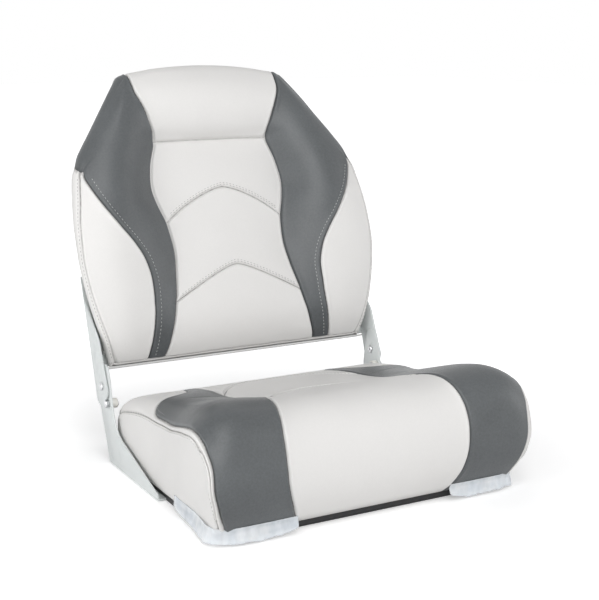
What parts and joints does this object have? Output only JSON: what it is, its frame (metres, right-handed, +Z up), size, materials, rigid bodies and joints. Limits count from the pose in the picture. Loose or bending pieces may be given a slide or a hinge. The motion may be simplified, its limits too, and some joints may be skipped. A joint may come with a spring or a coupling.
{
  "type": "folding boat seat",
  "caption": "Padded two-tone vinyl boat seat whose contoured high back folds forward on steel side hinges over a thick bolstered cushion.",
  "frame": {"origin": "centre of the pedestal hole pattern on the underside of the pan", "axes": "+Z up, -Y towards the front edge of the seat, +X to the right of a person facing the seat"},
  "size_m": [0.4684, 0.5281, 0.524],
  "materials": {
    "light_vinyl": "soft grained marine vinyl",
    "charcoal_vinyl": "soft grained marine vinyl",
    "foam": "matt open foam, hidden",
    "pan_plastic": "moulded, matt",
    "shell_plastic": "moulded, satin",
    "clear_film": "clear film, slightly wrinkled",
    "bracket_steel": "pale grey powder coat",
    "plated_steel": "bright zinc plate",
    "nylon": "natural nylon"
  },
  "bodies": {
    "seat": {"seat_side_boxing_right": "light_vinyl", "seat_rear_boxing": "light_vinyl", "seat_rear_panel": "light_vinyl", "seat_dark_panel_right": "charcoal_vinyl", "seat_insert_panel": "light_vinyl", "seat_front_panel": "light_vinyl", "seat_dark_panel_left": "charcoal_vinyl", "seat_side_boxing_left": "light_vinyl", "seat_foam": "foam", "seat_pan": "pan_plastic", "pedestal_nut_1": "plated_steel", "pedestal_nut_2": "plated_steel", "pedestal_nut_3": "plated_steel", "pedestal_nut_4": "plated_steel", "lower_bracket_right": "bracket_steel", "lower_bracket_left": "bracket_steel", "bracket_screw_1": "plated_steel", "bracket_screw_2": "plated_steel", "bracket_screw_3": "plated_steel", "bracket_screw_4": "plated_steel", "pivot_rivet_right": "plated_steel", "pivot_rivet_left": "plated_steel", "pivot_washer_right": "nylon", "pivot_washer_left": "nylon", "stop_pin_right": "plated_steel", "stop_pin_left": "plated_steel", "stop_spacer_right": "nylon", "stop_spacer_left": "nylon", "corner_guard_right": "clear_film", "corner_guard_left": "clear_film"},
    "backrest": {"back_side_panel_right": "light_vinyl", "back_dark_panel_right": "charcoal_vinyl", "back_lower_panel": "light_vinyl", "back_middle_panel": "light_vinyl", "back_upper_panel": "light_vinyl", "head_panel": "light_vinyl", "back_dark_panel_left": "charcoal_vinyl", "back_side_panel_left": "light_vinyl", "back_side_boxing_right": "light_vinyl", "back_dark_boxing_right": "charcoal_vinyl", "back_top_boxing": "light_vinyl", "back_dark_boxing_left": "charcoal_vinyl", "back_side_boxing_left": "light_vinyl", "back_bottom_boxing": "light_vinyl", "back_foam": "foam", "back_shell": "shell_plastic", "hinge_arm_right": "bracket_steel", "hinge_arm_left": "bracket_steel", "arm_screw_1": "plated_steel", "arm_screw_2": "plated_steel", "arm_screw_3": "plated_steel", "arm_screw_4": "plated_steel", "arm_screw_5": "plated_steel", "arm_screw_6": "plated_steel"}
  },
  "joints": [
    {"name": "back_fold", "type": "hinge", "parent": "seat", "child": "backrest", "pos_m": [0, 0.175, 0.104], "axis": [1, 0, 0], "range_deg": [0, 86]}
  ]
}
